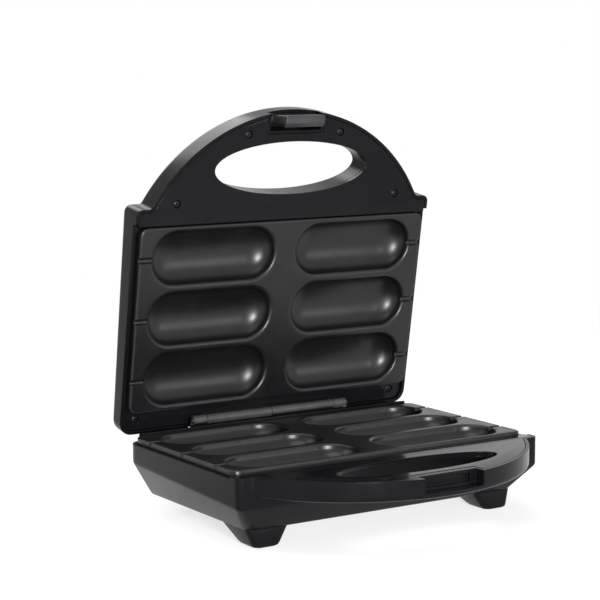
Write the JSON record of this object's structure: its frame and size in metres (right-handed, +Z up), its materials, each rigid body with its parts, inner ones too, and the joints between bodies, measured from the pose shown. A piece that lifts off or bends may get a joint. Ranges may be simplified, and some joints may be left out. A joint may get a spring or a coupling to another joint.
{
  "type": "corn dog maker",
  "caption": "Countertop corn dog maker: base and hinged lid with cast plates of capsule moulds and stick grooves, D-shaped pull handles with finger holes and a swing latch",
  "frame": {"origin": "centre of the bounding box's bottom, on the table plane under the rubber feet, with the lid standing open as pictured", "axes": "+X to the right along the hinge, seen from the handle side; +Y to the rear, towards the hinge; +Z up"},
  "size_m": [0.23, 0.2424, 0.2619],
  "materials": {
    "black_plastic": "moulded heat-resistant plastic, satin gloss",
    "frame_plastic": "moulded heat-resistant plastic, smoother gloss",
    "latch_plastic": "moulded plastic",
    "coated_aluminium": "die-cast with dark non-stick coating, satin",
    "bright_steel": "zinc-plated",
    "dark_steel": "blackened",
    "sheath_steel": "drawn sheath, dull",
    "shield_metal": "aluminised sheet",
    "rubber": "matte",
    "cream_plastic": "ceramic-filled moulding",
    "red_lens": "translucent, polished",
    "green_lens": "translucent, polished",
    "lamp_glass": "clear"
  },
  "bodies": {
    "base": {"base_frame": "frame_plastic", "base_housing": "black_plastic", "base_screw_1": "dark_steel", "base_screw_2": "dark_steel", "base_screw_3": "dark_steel", "base_screw_4": "dark_steel", "base_screw_5": "dark_steel", "base_screw_6": "dark_steel", "cord_gland": "rubber", "hinge_rod": "bright_steel", "hinge_rod_clip": "bright_steel", "lower_clamp_screw": "dark_steel", "lower_element": "sheath_steel", "lower_element_clamp": "bright_steel", "lower_heat_shield": "shield_metal", "lower_plate": "coated_aluminium", "lower_plate_screw_left_front": "dark_steel", "lower_plate_screw_left_rear": "dark_steel", "lower_plate_screw_right_front": "dark_steel", "lower_plate_screw_right_rear": "dark_steel", "pad_front_foot_left": "rubber", "pad_front_foot_right": "rubber", "pad_rear_foot_left": "rubber", "pad_rear_foot_right": "rubber", "terminal_block": "cream_plastic", "thermostat": "sheath_steel"},
    "lid": {"latch_pin": "bright_steel", "lid_cover": "black_plastic", "lid_frame": "frame_plastic", "lid_screw_1": "dark_steel", "lid_screw_2": "dark_steel", "lid_screw_3": "dark_steel", "lid_screw_4": "dark_steel", "lid_screw_5": "dark_steel", "lid_screw_6": "dark_steel", "power_lamp": "lamp_glass", "power_lens": "red_lens", "ready_lamp": "lamp_glass", "ready_lens": "green_lens", "thermal_fuse": "bright_steel", "upper_clamp_screw": "dark_steel", "upper_element": "sheath_steel", "upper_element_clamp": "bright_steel", "upper_heat_shield": "shield_metal", "upper_plate": "coated_aluminium", "upper_plate_screw_left_front": "dark_steel", "upper_plate_screw_left_rear": "dark_steel", "upper_plate_screw_right_front": "dark_steel", "upper_plate_screw_right_rear": "dark_steel"},
    "latch": {"latch": "latch_plastic"}
  },
  "joints": [
    {"name": "lid_hinge", "type": "hinge", "parent": "base", "child": "lid", "pos_m": [0, 0.0882, 0.0535], "axis": [-1, 0, 0], "range_deg": [-80.5, 9.5]},
    {"name": "latch_swing", "type": "hinge", "parent": "lid", "child": "latch", "pos_m": [0, 0.06197, 0.25504], "axis": [-1, 0, 0], "range_deg": [-9.5, 15]}
  ]
}
